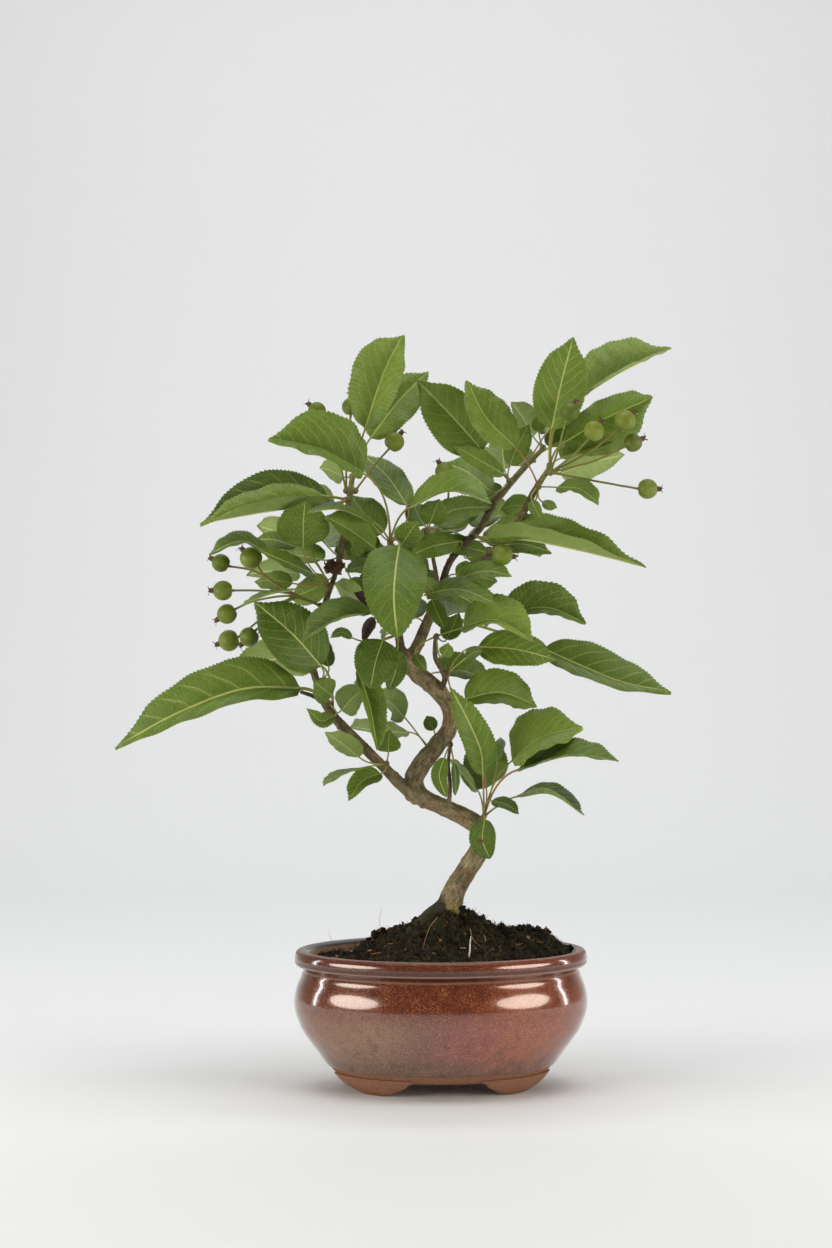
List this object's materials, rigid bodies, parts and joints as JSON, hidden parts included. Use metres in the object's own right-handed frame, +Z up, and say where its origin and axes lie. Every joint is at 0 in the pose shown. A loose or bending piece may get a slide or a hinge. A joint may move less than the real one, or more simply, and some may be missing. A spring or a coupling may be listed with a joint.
{
  "type": "crabapple bonsai",
  "caption": "Small crabapple bonsai with a bent trunk, toothed green leaves and unripe green fruits, rooted in soil in an oval red-brown glazed pot on feet.",
  "frame": {"origin": "on the table, under the middle of the whole tree's bounding box; the middle of the pot lies about 25 mm to the right of it and 11 mm in front of it", "axes": "+Z up, +X to the right and +Y towards the back, as seen from the front of the tree"},
  "size_m": [0.3038, 0.1472, 0.4136],
  "materials": {
    "glaze": "gloss",
    "drain_mesh": "matte",
    "soil": "matte",
    "bark": "matte",
    "leaf": "satin",
    "fruit": "satin",
    "withered": "matte"
  },
  "bodies": {
    "root": {"trunk": "bark", "leaves_low_right": "leaf", "leaves_low_inner": "leaf", "leaves_left_low": "leaf", "leaves_trunk_back": "leaf", "leaves_left_elbow": "leaf", "leaves_elbow_back": "leaf", "leaves_middle_top": "leaf", "leaves_middle_low": "leaf", "leaves_middle_back": "leaf", "leaves_crown_heart": "leaf", "leaves_far_low": "leaf", "leaves_left_limb_end": "leaf", "leaves_inner_top": "leaf", "leaves_far_middle": "leaf", "leaves_far_tip": "leaf", "leaves_near_middle": "leaf", "leaves_near_tip": "leaf", "leaves_near_low": "leaf", "leaves_left_top": "leaf", "leaves_left_shoulder": "leaf", "leaves_left_heart": "leaf", "leaves_left_lower": "leaf", "leaves_inner_left": "leaf", "leaves_back_heart": "leaf", "leaves_back_left": "leaf", "leaves_back_right": "leaf", "leaves_back_middle": "leaf", "leaves_back_low": "leaf", "leaves_back_top": "leaf", "fruits_left": "fruit", "fruits_left_top": "fruit", "fruits_left_high": "fruit", "fruits_middle": "fruit", "fruits_right": "fruit", "fruits_single": "fruit", "dry_clump": "withered", "pot": "glaze", "drain_mesh_left": "drain_mesh", "drain_mesh_right": "drain_mesh", "soil": "soil"}
  },
  "joints": []
}
